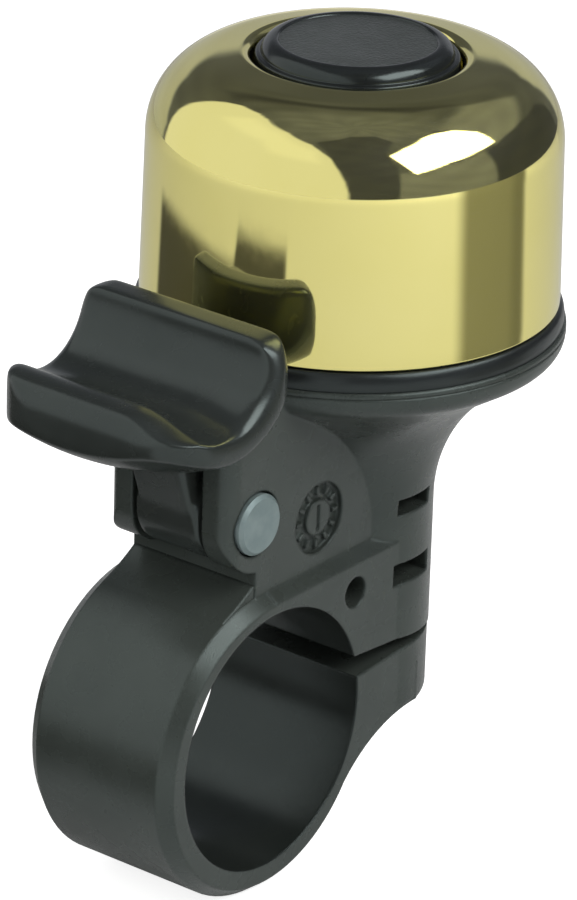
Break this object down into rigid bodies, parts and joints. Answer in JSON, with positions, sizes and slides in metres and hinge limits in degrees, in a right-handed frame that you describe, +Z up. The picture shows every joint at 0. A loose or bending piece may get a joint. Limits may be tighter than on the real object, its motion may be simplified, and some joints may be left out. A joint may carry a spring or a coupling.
{
  "type": "bicycle bell",
  "caption": "Thumb-lever bicycle bell: polished brass dome on a hollow moulded post, split ring clamp for the handlebar, sprung lever with a grooved paddle that flicks a hammer inside the dome.",
  "frame": {"origin": "centre of the clamp's bore, half way along the handlebar", "axes": "+Y along the handlebar, +Z up and parallel to the dome's axis, the lever is on the -X side"},
  "size_m": [0.0531, 0.0362, 0.0681],
  "materials": {
    "housing_plastic": "satin moulded, dark charcoal",
    "trim_plastic": "satin moulded, black",
    "dome_brass": "mirror polished",
    "cap_plastic": "glossy edge, finely grained top",
    "lever_plastic": "semi-gloss, thumb-polished black",
    "pin_metal": "satin",
    "steel": "zinc plated",
    "rivet_brass": "plain",
    "fibre": "vulcanised fibre, dull"
  },
  "bodies": {
    "bell": {"housing": "housing_plastic", "trim_ring": "trim_plastic", "bell_dome": "dome_brass", "dome_cap": "cap_plastic", "dome_screw": "steel", "dome_washer": "steel", "fibre_washer": "fibre", "dome_nut": "steel", "clamp_screw": "steel", "clamp_washer": "steel", "clamp_nut": "steel", "hinge_pin": "pin_metal"},
    "lever": {"thumb_lever": "lever_plastic", "return_spring": "steel", "leaf_rivet": "rivet_brass"},
    "striker": {"striker_leaf": "steel", "hammer": "steel"}
  },
  "joints": [
    {"name": "lever_pivot", "type": "hinge", "parent": "bell", "child": "lever", "pos_m": [-0.0015, 0, 0.0196], "axis": [0, -1, 0], "range_deg": [0, 16], "stiffness_Nm_per_rad": 0.02, "springref_deg": -45.84},
    {"name": "striker_flex", "type": "hinge", "parent": "lever", "child": "striker", "pos_m": [0.00937, 0, 0.02704], "axis": [0, -1, 0], "range_deg": [-4, 4], "stiffness_Nm_per_rad": 0.01}
  ]
}
